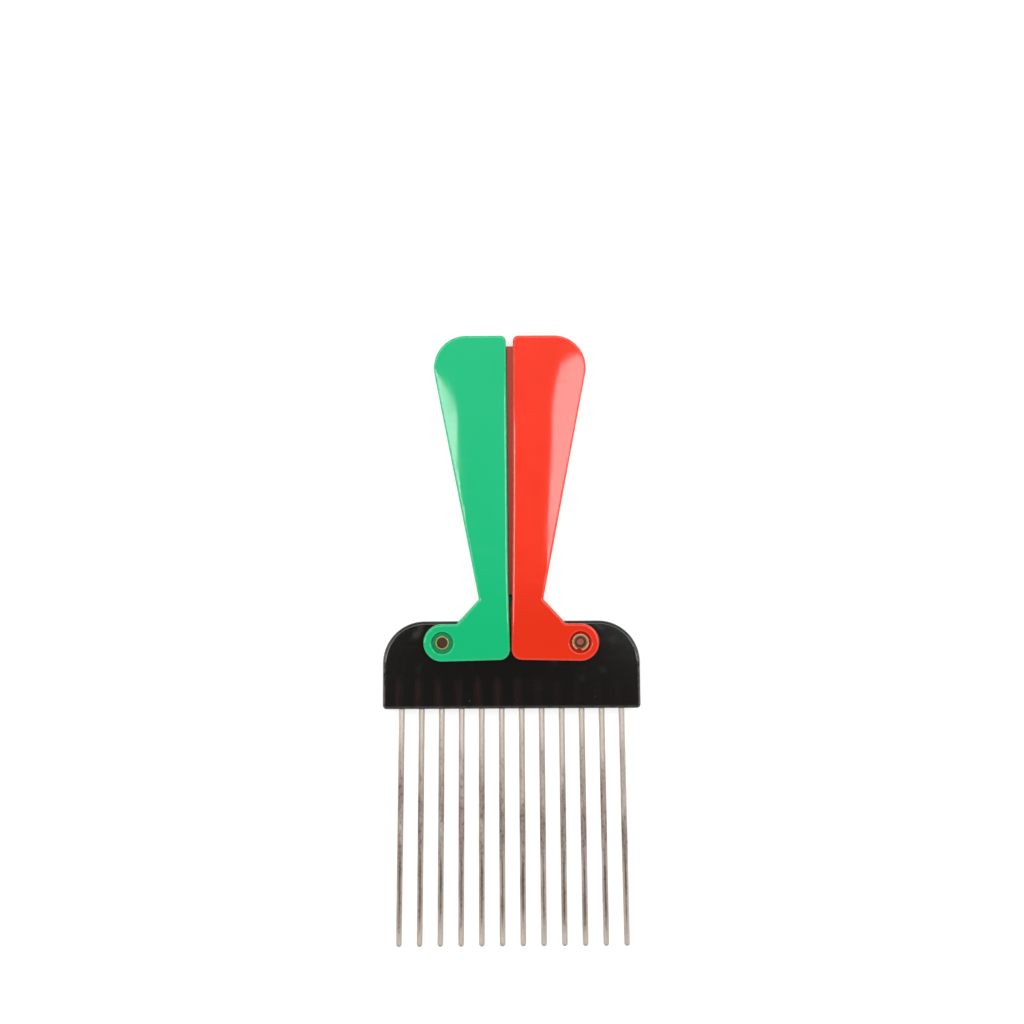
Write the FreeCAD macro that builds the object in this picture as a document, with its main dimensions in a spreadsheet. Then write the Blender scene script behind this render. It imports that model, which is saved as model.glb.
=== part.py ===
import FreeCAD, Part
import os

import Sketcher

# Folding afro pick, lying on its back: a moulded comb head with steel tines, and two channel-shaped
# handles that swing on hollow rivets, up to make the grip or down to straddle the outer tines.
# X runs across the head, Y from the tine tips to the handle ends, Z up from the surface it lies on.
# The origin is under the middle of the open pick. Lengths are in millimetres.

PARTS_FOLDER = "parts"

# Driving dimensions: alias, value and what it measures.
SIZES = (
    ("head_width", 85.9, "comb head, side to side at its lower edge"),
    ("head_side_draw", 0.35, "how far each side of the head leans in on its way up"),
    ("head_rise", 7.1, "pivot line to the head's upper edge"),
    ("head_drop", 22.1, "pivot line to the head's lower edge"),
    ("head_thickness", 5.0, "comb head, front to back"),
    ("head_corner_radius", 14.0, "upper corners of the head"),
    ("head_toe_radius", 1.3, "lower corners of the head"),
    ("head_edge_round", 1.1, "rounding of the head's front and back edges"),
    ("tab_gap", 0.15, "between the stop tab on top of the head and the ends of the handles' walls"),
    ("tab_foot", 10.0, "stop tab, side to side at its foot"),
    ("tab_top", 7.0, "stop tab, side to side at its top"),
    ("tab_radius", 1.5, "corners of the stop tab, at its foot and its top"),
    ("fold_gap", 0.57, "between the head's side and the wall of a handle folded down beside it"),
    ("tine_count", 12, "steel tines in the head"),
    ("tine_diameter", 2.0, "wire of the tines"),
    ("tine_reach", 101.5, "pivot line to the tine tips"),
    ("tine_margin", 6.375, "side of the head to the middle of the first tine, at the head's lower edge"),
    ("tine_spread", 0.27, "how much further apart two tines are at their tips than at the head"),
    ("tine_embed", 12.0, "length of tine held in the head"),
    ("tine_butt_chamfer", 0.2, "chamfer on the buried end of a tine"),
    ("tine_tip_round_share", 0.92, "tip rounding as a share of the tine's radius"),
    ("socket_gap", 0.02, "between a tine and its socket, all round and at the floor"),
    ("handle_reach", 102.0, "pivot to the far end of a handle"),
    ("handle_plate", 2.2, "front and back plates of a handle"),
    ("handle_side_gap", 0.2, "between a handle plate and the head"),
    ("handle_web", 1.8, "wall that joins the two plates"),
    ("web_rise", 15.9, "pivot to the lower end of that wall"),
    ("web_root_round", 0.6, "fillet where the wall meets the plates"),
    ("heel_gap", 0.25, "centre line to a handle at its heel"),
    ("bend_gap", 0.68, "centre line to the right handle where its inner edge bends"),
    ("bend_rise", 24.0, "pivot line to that bend"),
    ("end_gap", 1.05, "centre line to the right handle at its far end"),
    ("left_set_back", 0.25, "how much further back the left handle's inner edge is, from its bend up"),
    ("ledge_thickness", 1.0, "ledge on the outside of each handle's wall, front to back"),
    ("ledge_play", 0.3, "between the two ledges where they overlap, the right one in front"),
    ("ledge_depth", 4.9, "front face of a handle to the front of the right ledge"),
    ("ledge_gap", 0.35, "between a ledge and the other handle"),
    ("ledge_end", 3.4, "far end of a handle to the end of its ledge"),
    ("heel_drop", 5.75, "pivot line to the heel's lower edge"),
    ("heel_radius", 3.5, "rounded heel corner"),
    ("lug_radius", 6.25, "round lug about the pivot"),
    ("foot_start", 4.8, "pivot to where the foot starts to climb, inwards"),
    ("foot_radius", 0.6, "fillet under the foot"),
    ("neck_inset", 12.3, "pivot to the narrow neck, inwards"),
    ("neck_rise", 14.35, "pivot line to the narrow neck"),
    ("neck_radius", 1.0, "fillet in the neck"),
    ("end_outset", 4.5, "pivot to the outer corner of the far end, outwards"),
    ("end_outer_radius", 10.7, "large outer corner of the far end"),
    ("end_inner_radius", 1.7, "small inner corner of the far end"),
    ("handle_edge_round", 0.75, "rounding of the handle's front and back edges"),
    ("counterbore_diameter", 7.3, "recess round each rivet end"),
    ("counterbore_depth", 1.5, "depth of that recess"),
    ("counterbore_round", 0.45, "rounding of the mouth of that recess"),
    ("rivet_bore", 3.2, "clear hole through the left rivet"),
    ("rivet_wall", 0.35, "tube wall of the left rivet; the right one is as wide outside"),
    ("rivet_seat_gap", 0.02, "between a rivet and its hole in the head"),
    ("rivet_running_gap", 0.05, "between a rivet and a handle, round it and under its ends"),
    ("flange_diameter", 6.2, "factory flange on the back of a rivet"),
    ("flange_thickness", 0.45, "factory flange on the back of a rivet"),
    ("flange_round_share", 0.45, "flange edge rounding as a share of its thickness"),
    ("roll_diameter", 4.7, "rolled front rim of the left rivet"),
    ("roll_round_share", 0.46, "rim rounding as a share of the rim's width"),
    ("funnel_bore", 2.4, "clear hole through the right rivet"),
    ("funnel_depth", 1.7, "crest of the splayed rim to where the funnel reaches the clear hole"),
    ("flare_diameter", 5.75, "splayed front rim of the right rivet"),
    ("flare_rise", 0.75, "height of the splayed rim"),
    ("flare_lip", 0.32, "height of the splayed rim's edge"),
    ("flare_foot", 3.8, "across the funnel where the splayed rim turns outwards"),
    ("flare_throat", 0.5, "depth of the splayed rim inside, down to that turn"),
    ("split_mouth", 2.7, "wide split in the splayed rim, at its mouth"),
    ("split_foot", 3.5, "twice the distance from the rivet's axis to the foot of the wide split"),
    ("split_turn", 9.0, "turn of the wide split from straight down, towards the centre line"),
    ("nick_mouth", 0.35, "narrow split in the splayed rim, at its mouth"),
    ("nick_depth", 0.6, "length of the narrow split"),
    ("nick_angle", 105.0, "turn from the wide split to each narrow one"),
    ("cut_overrun", 1.0, "how far every cut runs past what it cuts"),
)

# Lengths that follow from the sheet, as expressions.
PIVOT_X = "((Sizes.head_width / 2 + Sizes.fold_gap + Sizes.handle_web + Sizes.bend_gap) / 2)"
PIVOT_Y = "(Sizes.tine_reach - Sizes.handle_reach) / 2"
HALF_HANDLE = "(Sizes.head_thickness / 2 + Sizes.handle_side_gap + Sizes.handle_plate)"
HALF_CHANNEL = "(Sizes.head_thickness / 2 + Sizes.handle_side_gap)"
RIVET_RADIUS = "(Sizes.rivet_bore / 2 + Sizes.rivet_wall)"
COUNTERBORE_FLOOR = f"({HALF_HANDLE} - Sizes.counterbore_depth)"
RIVET_SEAT = f"({COUNTERBORE_FLOOR} + Sizes.rivet_running_gap)"
TINE_SHOWN = "(Sizes.tine_reach - Sizes.head_drop)"
TINE_PITCH = "((Sizes.head_width - 2 * Sizes.tine_margin) / (Sizes.tine_count - 1))"
HEEL_INSET = f"({PIVOT_X} - Sizes.heel_gap)"
BEND_INSET = f"({PIVOT_X} - Sizes.bend_gap)"
END_INSET = f"({PIVOT_X} - Sizes.end_gap)"

SAME_PLACE = 1e-4


def fill_sheet(doc):
    """The spreadsheet that holds every driving dimension under its alias."""
    sheet = doc.addObject("Spreadsheet::Sheet", "Sizes")
    for row, (alias, value, meaning) in enumerate(SIZES, start=1):
        sheet.set(f"A{row}", alias)
        sheet.set(f"B{row}", str(value))
        sheet.setAlias(f"B{row}", alias)
        sheet.set(f"C{row}", meaning)
    doc.recompute()
    return sheet


def number(owner, expression):
    """The value of an expression as a plain number."""
    value = owner.evalExpression(expression)
    return float(getattr(value, "Value", value))


def bind(owner, **expressions):
    """Ties properties to the sheet. Two underscores in a name stand for a dot."""
    for name, expression in expressions.items():
        owner.setExpression(name.replace("__", "."), expression)


def new_body(doc, label, x="0", y=PIVOT_Y, turn=None):
    """A body whose own origin is on the pick's middle plane, turned about Z where a turn is given."""
    body = doc.addObject("PartDesign::Body", label)
    body.Label = label
    if turn is not None:
        body.Placement.Rotation = FreeCAD.Rotation(FreeCAD.Vector(0, 0, 1), 1)
        bind(body, Placement__Rotation__Angle=turn)
    bind(body, Placement__Base__x=x, Placement__Base__y=y, Placement__Base__z=HALF_HANDLE)
    return body


def new_sketch(body, role, name):
    """An empty sketch on one of the body's own origin planes."""
    sketch = body.newObject("Sketcher::SketchObject", name)
    plane = next(feature for feature in body.Origin.OriginFeatures if feature.Role == role)
    sketch.AttachmentSupport = [(plane, "")]
    sketch.MapMode = "FlatFace"
    return sketch


def hold(sketch, kind, axis, geometry, end, expression):
    """Ties one coordinate of a sketch point to an expression, measured from the sketch's origin."""
    if expression == "0":
        sketch.addConstraint(Sketcher.Constraint("PointOnObject", geometry, end, axis))
        return
    value = number(sketch, expression)
    index = sketch.addConstraint(Sketcher.Constraint(kind, -1, 1, geometry, end, value))
    sketch.setExpression(f"Constraints[{index}]", expression)


def draw_outline(sketch, corners):
    """A closed outline of straight lines. Each corner is a pair of expressions."""
    points = [FreeCAD.Vector(number(sketch, x), number(sketch, y), 0) for x, y in corners]
    count = len(points)
    first = sketch.GeometryCount
    for i in range(count):
        sketch.addGeometry(Part.LineSegment(points[i], points[(i + 1) % count]))
    for i in range(count):
        sketch.addConstraint(
            Sketcher.Constraint("Coincident", first + i, 2, first + (i + 1) % count, 1)
        )
    for i, (x, y) in enumerate(corners):
        hold(sketch, "DistanceX", -2, first + i, 1, x)
        hold(sketch, "DistanceY", -1, first + i, 1, y)


def draw_circle(sketch, x, y, radius):
    """A circle whose centre and radius are expressions."""
    centre = FreeCAD.Vector(number(sketch, x), number(sketch, y), 0)
    circle = Part.Circle(centre, FreeCAD.Vector(0, 0, 1), number(sketch, radius))
    geometry = sketch.addGeometry(circle)
    hold(sketch, "DistanceX", -2, geometry, 3, x)
    hold(sketch, "DistanceY", -1, geometry, 3, y)
    index = sketch.addConstraint(
        Sketcher.Constraint("Radius", geometry, number(sketch, radius))
    )
    sketch.setExpression(f"Constraints[{index}]", radius)


def add_pad(body, sketch, length, name="Pad"):
    """Extrudes a sketch both ways from the middle plane."""
    pad = body.newObject("PartDesign::Pad", name)
    pad.Profile = sketch
    pad.SideType = "Symmetric"
    bind(pad, Length=length)
    sketch.Document.recompute()
    return pad


def add_pocket(body, sketch, length, name):
    """Cuts a sketch both ways from the middle plane."""
    pocket = body.newObject("PartDesign::Pocket", name)
    pocket.Profile = sketch
    pocket.SideType = "Symmetric"
    bind(pocket, Length=length)
    sketch.Document.recompute()
    return pocket


def spin(body, sketch, kind, name):
    """Turns a sketch once about its own vertical axis, to add (Revolution) or to cut (Groove)."""
    feature = body.newObject(f"PartDesign::{kind}", name)
    feature.Profile = sketch
    feature.ReferenceAxis = (sketch, ["V_Axis"])
    feature.Angle = 360
    sketch.Document.recompute()
    return feature


def add_fillet(body, edges, radius, name):
    """Rounds edges of the body's present shape."""
    base = body.Tip
    fillet = body.newObject("PartDesign::Fillet", name)
    fillet.Base = (base, edges)
    bind(fillet, Radius=radius)
    body.Document.recompute()
    return fillet


def pick_edges(body, wanted):
    """Names of the edges of the body's present shape that a test accepts."""
    return [f"Edge{i}" for i, edge in enumerate(body.Tip.Shape.Edges, start=1) if wanted(edge)]


def upright_at(body, *corners):
    """The edges along Z that stand on the given corners of an outline."""
    places = [(number(body, x), number(body, y)) for x, y in corners]

    def wanted(edge):
        box = edge.BoundBox
        if box.XLength > SAME_PLACE or box.YLength > SAME_PLACE:
            return False
        return any(abs(box.XMin - x) + abs(box.YMin - y) < SAME_PLACE for x, y in places)

    return pick_edges(body, wanted)


def level_at(body, height):
    """The edges that lie in the two faces at plus and minus a height."""
    level = number(body, height)

    def wanted(edge):
        box = edge.BoundBox
        return box.ZLength < SAME_PLACE and abs(abs(box.ZMin) - level) < SAME_PLACE

    return pick_edges(body, wanted)


def rings_at(body, *rings):
    """The full circles about Z at the given pairs of radius and height."""
    places = [(number(body, radius), number(body, height)) for radius, height in rings]

    def wanted(edge):
        curve = edge.Curve
        if not isinstance(curve, Part.Circle):
            return False
        return any(
            abs(curve.Radius - radius) + abs(curve.Center.z - height) < SAME_PLACE
            for radius, height in places
        )

    return pick_edges(body, wanted)


def tine_places(sheet):
    """Each tine's foot on the head's lower edge and its lean, as expressions, from left to right."""
    count = int(sheet.get("tine_count"))
    places = []
    for i in range(count):
        step = i - (count - 1) / 2
        foot = f"{step} * {TINE_PITCH}"
        spread = f"{step} * Sizes.tine_spread"
        places.append((foot, f"atan({spread} / {TINE_SHOWN})"))
    return places


def make_tine(doc, label, foot, lean):
    """One steel tine: a round-tipped wire whose buried end sits in the head."""
    body = new_body(doc, label, x=foot, y=f"{PIVOT_Y} - Sizes.head_drop", turn=lean)
    sketch = new_sketch(body, "XY_Plane", label + "_profile")
    radius = "Sizes.tine_diameter / 2"
    tip = f"-{TINE_SHOWN} / cos({lean})"
    draw_outline(
        sketch,
        [
            ("0", tip),
            (radius, tip),
            (radius, "Sizes.tine_embed - Sizes.tine_butt_chamfer"),
            (f"{radius} - Sizes.tine_butt_chamfer", "Sizes.tine_embed"),
            ("0", "Sizes.tine_embed"),
        ],
    )
    spin(body, sketch, "Revolution", label + "_wire")
    end = number(body, tip)
    rim = pick_edges(
        body,
        lambda edge: edge.BoundBox.YLength < SAME_PLACE and abs(edge.BoundBox.YMin - end) < SAME_PLACE,
    )
    add_fillet(body, rim, f"{radius} * Sizes.tine_tip_round_share", label + "_tip")
    return body


def make_head(doc, sheet):
    """The moulded comb head: a plate with two rivet holes and a blind socket for every tine."""
    body = new_body(doc, "comb_head")
    toe = "Sizes.head_width / 2"
    shoulder = f"{toe} - Sizes.head_side_draw"
    right_half = [
        (toe, "-Sizes.head_drop"),
        (shoulder, "Sizes.head_rise"),
        ("Sizes.tab_foot / 2", "Sizes.head_rise"),
        ("Sizes.tab_top / 2", "Sizes.web_rise - Sizes.tab_gap"),
    ]
    left_half = [(f"-({x})", y) for x, y in right_half]
    outline = new_sketch(body, "XY_Plane", "head_outline")
    draw_outline(outline, right_half + left_half[::-1])
    add_pad(body, outline, "Sizes.head_thickness", "head_plate")
    toes, shoulders, tab_feet, tab_tops = zip(right_half, left_half)
    add_fillet(body, upright_at(body, *shoulders), "Sizes.head_corner_radius", "head_corners")
    add_fillet(body, upright_at(body, *toes), "Sizes.head_toe_radius", "head_toes")
    add_fillet(body, upright_at(body, *tab_feet, *tab_tops), "Sizes.tab_radius", "stop_tab_corners")
    rims = level_at(body, "Sizes.head_thickness / 2")
    add_fillet(body, rims, "Sizes.head_edge_round", "head_edges")

    holes = new_sketch(body, "XY_Plane", "rivet_holes")
    for side in (-1, 1):
        centre = f"{side} * {PIVOT_X}"
        draw_circle(holes, centre, "0", f"{RIVET_RADIUS} + Sizes.rivet_seat_gap")
    add_pocket(body, holes, "Sizes.head_thickness + 2 * Sizes.cut_overrun", "rivet_holes_cut")

    radius = "Sizes.tine_diameter / 2 + Sizes.socket_gap"
    floor = "Sizes.tine_embed + Sizes.socket_gap"
    for i, (foot, lean) in enumerate(tine_places(sheet), start=1):
        socket = new_sketch(body, "XY_Plane", f"socket_{i:02d}")
        socket.AttachmentOffset = FreeCAD.Placement(
            FreeCAD.Vector(), FreeCAD.Rotation(FreeCAD.Vector(0, 0, 1), 1)
        )
        bind(
            socket,
            AttachmentOffset__Base__x=foot,
            AttachmentOffset__Base__y="-Sizes.head_drop",
            AttachmentOffset__Rotation__Angle=lean,
        )
        draw_outline(
            socket,
            [("0", "-Sizes.cut_overrun"), (radius, "-Sizes.cut_overrun"), (radius, floor), ("0", floor)],
        )
        spin(body, socket, "Groove", f"socket_{i:02d}_cut")
    return body


def lower_edge(height, set_back):
    """How far a handle's inner edge stands from its pivot at a height below its bend, as an expression."""
    share = f"(({height}) + Sizes.heel_drop) / (Sizes.bend_rise + Sizes.heel_drop)"
    return f"({HEEL_INSET} + ({BEND_INSET} - {set_back} - {HEEL_INSET}) * {share})"


def upper_edge(height, set_back):
    """How far a handle's inner edge stands from its pivot at a height above its bend, as an expression."""
    share = f"(({height}) - Sizes.bend_rise) / (Sizes.handle_reach - Sizes.bend_rise)"
    return f"({BEND_INSET} - {set_back} + ({END_INSET} - {BEND_INSET}) * {share})"


def tangent_point():
    """Where the line from the heel touches the lug's circle, as inward and downward expressions."""
    heel = f"sqrt({HEEL_INSET} ^ 2 + Sizes.heel_drop ^ 2)"
    slope = f"(asin(Sizes.lug_radius / {heel}) - atan(Sizes.heel_drop / {HEEL_INSET}))"
    return f"Sizes.lug_radius * sin({slope})", f"-Sizes.lug_radius * cos({slope})"


def make_handle(doc, label, side, set_back, other_set_back):
    """One handle, a channel open on its outer side. side is -1 for the left one and 1 for the right."""
    body = new_body(doc, label, x=f"{side} * {PIVOT_X}")

    def inward(distance):
        return f"{-side} * ({distance})"

    touch_in, touch_down = tangent_point()
    lug_top = ("0", "Sizes.lug_radius")
    foot = (inward("Sizes.foot_start"), "Sizes.lug_radius")
    neck = (inward("Sizes.neck_inset"), "Sizes.neck_rise")
    outer_end = (inward("-Sizes.end_outset"), "Sizes.handle_reach")
    inner_end = (inward(f"{END_INSET} - {set_back}"), "Sizes.handle_reach")
    bend = (inward(f"{BEND_INSET} - {set_back}"), "Sizes.bend_rise")
    heel = (inward(HEEL_INSET), "-Sizes.heel_drop")
    lug_foot = (inward(touch_in), touch_down)
    blade = new_sketch(body, "XY_Plane", label + "_outline")
    draw_outline(blade, [lug_top, foot, neck, outer_end, inner_end, bend, heel, lug_foot])
    add_pad(body, blade, f"2 * {HALF_HANDLE}", label + "_blade")
    lug = new_sketch(body, "XY_Plane", label + "_lug_outline")
    draw_circle(lug, "0", "0", "Sizes.lug_radius")
    add_pad(body, lug, f"2 * {HALF_HANDLE}", label + "_lug")
    for corner, radius in (
        (heel, "heel_radius"),
        (foot, "foot_radius"),
        (neck, "neck_radius"),
        (outer_end, "end_outer_radius"),
        (inner_end, "end_inner_radius"),
    ):
        add_fillet(body, upright_at(body, corner), f"Sizes.{radius}", f"{label}_{radius}")
    add_fillet(body, level_at(body, HALF_HANDLE), "Sizes.handle_edge_round", label + "_edges")

    past_end = "Sizes.handle_reach + Sizes.cut_overrun"
    past_lug = "-(Sizes.lug_radius + Sizes.cut_overrun)"
    past_heel = f"{HEEL_INSET} + Sizes.cut_overrun"
    past_outer = "-(Sizes.lug_radius + Sizes.end_outset + Sizes.cut_overrun)"
    web_end = f"{BEND_INSET} - Sizes.handle_web"
    web_top = f"{upper_edge(past_end, '0')} - Sizes.handle_web"
    channel = new_sketch(body, "XY_Plane", label + "_channel")
    draw_outline(
        channel,
        [
            (inward(web_top), past_end),
            (inward(web_end), "Sizes.web_rise"),
            (inward(past_heel), "Sizes.web_rise"),
            (inward(past_heel), past_lug),
            (inward(past_outer), past_lug),
            (inward(past_outer), past_end),
        ],
    )
    add_pocket(body, channel, f"2 * {HALF_CHANNEL}", label + "_channel_cut")
    roots = web_root_edges(body, side)
    add_fillet(body, roots, "Sizes.web_root_round", label + "_web_roots")
    add_ledge(body, label, side, other_set_back)
    cut_pivot(body, label)
    return body


def web_root_edges(body, side):
    """The two long edges where the inside of the web meets the plates."""
    level = number(body, HALF_CHANNEL)
    low = number(body, "Sizes.web_rise")
    face = number(body, f"{BEND_INSET} - Sizes.handle_web")

    def wanted(edge):
        box = edge.BoundBox
        level_line = box.ZLength < SAME_PLACE and abs(abs(box.ZMin) - level) < SAME_PLACE
        starts_low = abs(box.YMin - low) < SAME_PLACE
        start_x = edge.Vertexes[0].X if edge.Vertexes[0].Y < edge.Vertexes[-1].Y else edge.Vertexes[-1].X
        on_face = abs(start_x + side * face) < SAME_PLACE
        return level_line and starts_low and on_face and box.YLength > box.XLength

    return pick_edges(body, wanted)


def add_ledge(body, label, side, other_set_back):
    """A ledge along the outside of a handle's wall that overlaps the other handle's and closes the gap."""
    low = "Sizes.web_rise"
    high = "(Sizes.handle_reach - Sizes.ledge_end)"
    rooted = f"{BEND_INSET} - Sizes.handle_web / 2"
    across = f"2 * {PIVOT_X} - Sizes.ledge_gap"
    corners = [
        (rooted, low),
        (f"{across} - {lower_edge(low, other_set_back)}", low),
        (f"{across} - ({BEND_INSET} - {other_set_back})", "Sizes.bend_rise"),
        (f"{across} - {upper_edge(high, other_set_back)}", high),
        (rooted, high),
    ]
    right_level = f"{HALF_HANDLE} - Sizes.ledge_depth - Sizes.ledge_thickness / 2"
    left_level = f"{right_level} - Sizes.ledge_thickness - Sizes.ledge_play"
    outline = new_sketch(body, "XY_Plane", label + "_ledge_outline")
    bind(outline, AttachmentOffset__Base__z=left_level if side < 0 else right_level)
    draw_outline(outline, [(f"{-side} * ({x})", y) for x, y in corners])
    add_pad(body, outline, "Sizes.ledge_thickness", label + "_ledge")


def cut_pivot(body, label):
    """The rivet's running hole through both plates, with a round-mouthed recess on each outer face."""
    hole = f"{RIVET_RADIUS} + Sizes.rivet_running_gap"
    recess = "Sizes.counterbore_diameter / 2"
    past = f"{HALF_HANDLE} + Sizes.cut_overrun"
    front = [(hole, COUNTERBORE_FLOOR), (recess, COUNTERBORE_FLOOR), (recess, past), ("0", past)]
    back = [(x, f"-({z})") for x, z in reversed(front)]
    profile = new_sketch(body, "XZ_Plane", label + "_pivot_profile")
    draw_outline(profile, front + back)
    spin(body, profile, "Groove", label + "_pivot")
    mouths = rings_at(body, (recess, HALF_HANDLE), (recess, f"-{HALF_HANDLE}"))
    add_fillet(body, mouths, "Sizes.counterbore_round", label + "_recess_mouths")


def rivet_profile(bore, front):
    """A hollow rivet's section: its tube and back flange, closed by the corners of its front rim."""
    seat = f"-{RIVET_SEAT}"
    back = f"{seat} - Sizes.flange_thickness"
    flange = "Sizes.flange_diameter / 2"
    return [(bore, back), (flange, back), (flange, seat), (RIVET_RADIUS, seat)] + front


def make_rivet(doc, label, side, bore, front):
    """A hollow rivet on one pivot, from its tube, its rounded back flange and a front rim."""
    body = new_body(doc, label, x=f"{side} * {PIVOT_X}")
    profile = new_sketch(body, "XZ_Plane", label + "_profile")
    draw_outline(profile, rivet_profile(bore, front))
    spin(body, profile, "Revolution", label + "_tube")
    back = f"-{RIVET_SEAT} - Sizes.flange_thickness"
    rims = rings_at(body, ("Sizes.flange_diameter / 2", back), (bore, back))
    add_fillet(body, rims, "Sizes.flange_thickness * Sizes.flange_round_share", label + "_flange")
    return body


def make_rolled_rivet(doc):
    """The left rivet, whose front rim is rolled over into a neat bead."""
    width = "(Sizes.roll_diameter / 2 - Sizes.rivet_bore / 2)"
    rim = "Sizes.roll_diameter / 2"
    bore = "Sizes.rivet_bore / 2"
    crest = f"{RIVET_SEAT} + {width}"
    front = [(RIVET_RADIUS, RIVET_SEAT), (rim, RIVET_SEAT), (rim, crest), (bore, crest)]
    body = make_rivet(doc, "left_rivet", -1, bore, front)
    rings = rings_at(body, (rim, RIVET_SEAT), (rim, crest), (bore, crest))
    add_fillet(body, rings, f"{width} * Sizes.roll_round_share", "left_rivet_bead")
    return body


def make_split_rivet(doc):
    """The right rivet, whose front rim is splayed like a funnel and has split as it was set."""
    rim = "Sizes.flare_diameter / 2"
    bore = "Sizes.funnel_bore / 2"
    under = f"{RIVET_SEAT} + Sizes.flare_rise - Sizes.flare_lip"
    crest = f"{RIVET_SEAT} + Sizes.flare_rise"
    lip = f"{rim} - Sizes.rivet_wall / 2"
    front = [
        (RIVET_RADIUS, RIVET_SEAT),
        (rim, under),
        (lip, crest),
        ("Sizes.flare_foot / 2", f"{crest} - Sizes.flare_throat"),
        (bore, f"{crest} - Sizes.funnel_depth"),
    ]
    body = make_rivet(doc, "right_rivet", 1, bore, front)
    splits = new_sketch(body, "XY_Plane", "rivet_splits")
    draw_outline(splits, split_corners("(-Sizes.split_turn)", "Sizes.split_foot / 2", "Sizes.split_mouth"))
    nick_foot = f"{rim} - Sizes.nick_depth"
    for turn in ("(-Sizes.split_turn - Sizes.nick_angle)", "(Sizes.nick_angle - Sizes.split_turn)"):
        draw_outline(splits, split_corners(turn, nick_foot, "Sizes.nick_mouth"))
    bind(splits, AttachmentOffset__Base__z=f"{RIVET_SEAT} + Sizes.flare_rise + Sizes.cut_overrun")
    cut = body.newObject("PartDesign::Pocket", "rivet_splits_cut")
    cut.Profile = splits
    bind(cut, Length="Sizes.flare_rise + Sizes.cut_overrun")
    doc.recompute()
    return body


def split_corners(turn, foot, mouth):
    """A wedge that opens outwards from a radius, turned from the handle's lower side."""
    past = "(Sizes.flare_diameter / 2 + Sizes.cut_overrun)"
    half = f"({mouth} / 2 * ({past} - ({foot})) / (Sizes.flare_diameter / 2 - ({foot})))"

    def turned(x, y):
        return f"{x} * cos({turn} * 1deg) - {y} * sin({turn} * 1deg)", (
            f"{x} * sin({turn} * 1deg) + {y} * cos({turn} * 1deg)"
        )

    return [turned("0", f"(-({foot}))"), turned(half, f"(-{past})"), turned(f"(-{half})", f"(-{past})")]


def check(doc, bodies):
    """Stops the script if an object failed or a sub-part has no sound shape."""
    for thing in doc.Objects:
        if "Invalid" in thing.State or "Error" in thing.State:
            raise RuntimeError(f"{thing.Label} failed: {thing.State}")
    for body in bodies:
        if body.Shape.isNull() or not body.Shape.isValid():
            raise RuntimeError(f"{body.Label} has no sound shape")
        if len(body.Shape.Solids) != 1:
            raise RuntimeError(f"{body.Label} has {len(body.Shape.Solids)} solids")


def main():
    doc = FreeCAD.newDocument("folding_afro_pick")
    sheet = fill_sheet(doc)
    bodies = [make_head(doc, sheet)]
    for i, (foot, lean) in enumerate(tine_places(sheet), start=1):
        bodies.append(make_tine(doc, f"tine_{i:02d}", foot, lean))
    bodies.append(make_handle(doc, "left_handle", -1, "Sizes.left_set_back", "0"))
    bodies.append(make_handle(doc, "right_handle", 1, "0", "Sizes.left_set_back"))
    bodies.append(make_rolled_rivet(doc))
    bodies.append(make_split_rivet(doc))
    doc.recompute()
    check(doc, bodies)
    os.makedirs(PARTS_FOLDER, exist_ok=True)
    for body in bodies:
        body.Shape.exportStep(os.path.join(PARTS_FOLDER, body.Label + ".step"))
        print(f"{body.Label}: {body.Shape.Volume:.1f} mm3")


main()
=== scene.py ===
import math

import bpy
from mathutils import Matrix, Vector


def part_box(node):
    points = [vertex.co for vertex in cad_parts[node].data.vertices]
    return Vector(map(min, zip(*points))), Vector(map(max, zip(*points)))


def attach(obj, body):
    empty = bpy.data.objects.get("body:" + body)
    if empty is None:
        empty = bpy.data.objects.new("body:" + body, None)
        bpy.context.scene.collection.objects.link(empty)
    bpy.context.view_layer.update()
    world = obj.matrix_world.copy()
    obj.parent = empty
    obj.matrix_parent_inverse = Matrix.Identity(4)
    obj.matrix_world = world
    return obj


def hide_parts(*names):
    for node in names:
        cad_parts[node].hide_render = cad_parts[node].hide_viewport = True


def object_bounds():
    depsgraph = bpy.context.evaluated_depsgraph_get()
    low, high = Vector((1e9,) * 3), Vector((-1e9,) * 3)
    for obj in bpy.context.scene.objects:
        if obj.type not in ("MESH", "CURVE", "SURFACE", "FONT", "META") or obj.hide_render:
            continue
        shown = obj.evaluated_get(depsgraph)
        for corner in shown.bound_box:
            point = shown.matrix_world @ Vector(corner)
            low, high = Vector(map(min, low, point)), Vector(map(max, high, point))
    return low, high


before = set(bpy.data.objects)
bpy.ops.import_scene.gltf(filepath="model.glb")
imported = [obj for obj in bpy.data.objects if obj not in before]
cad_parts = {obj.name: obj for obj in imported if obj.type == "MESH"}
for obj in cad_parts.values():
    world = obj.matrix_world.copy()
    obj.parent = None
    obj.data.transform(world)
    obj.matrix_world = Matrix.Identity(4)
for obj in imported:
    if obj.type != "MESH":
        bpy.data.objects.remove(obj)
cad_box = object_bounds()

MM = 0.001
X_AXIS = 0
Y_AXIS = 1
WHITE = (1.0, 1.0, 1.0, 1.0)

# The picture: its side, the pixel of the middle of the pivot line, and the pick's scale in it
PICTURE_SIDE = 1024
PIVOT_MIDDLE_PIXEL = Vector((510.6, 642.1))
PIXELS_PER_MM = 3.0
CAMERA_HEIGHT = 1200 * MM
CAMERA_ROLL = math.radians(-0.32)
CAMERA_SENSOR = 36.0

# The pick's tines by name, and the sizes that its finishes follow
TINE_COUNT = 12
TINES = [f"tine_{number:02d}" for number in range(1, TINE_COUNT + 1)]
TINE_PITCH = 6.65 * MM
BORE_RADIUS = 1.6 * MM
RECESS_RADIUS = 3.65 * MM
RIM_DEPTH = 0.75 * MM
TAB_RISE = 8 * MM

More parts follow.
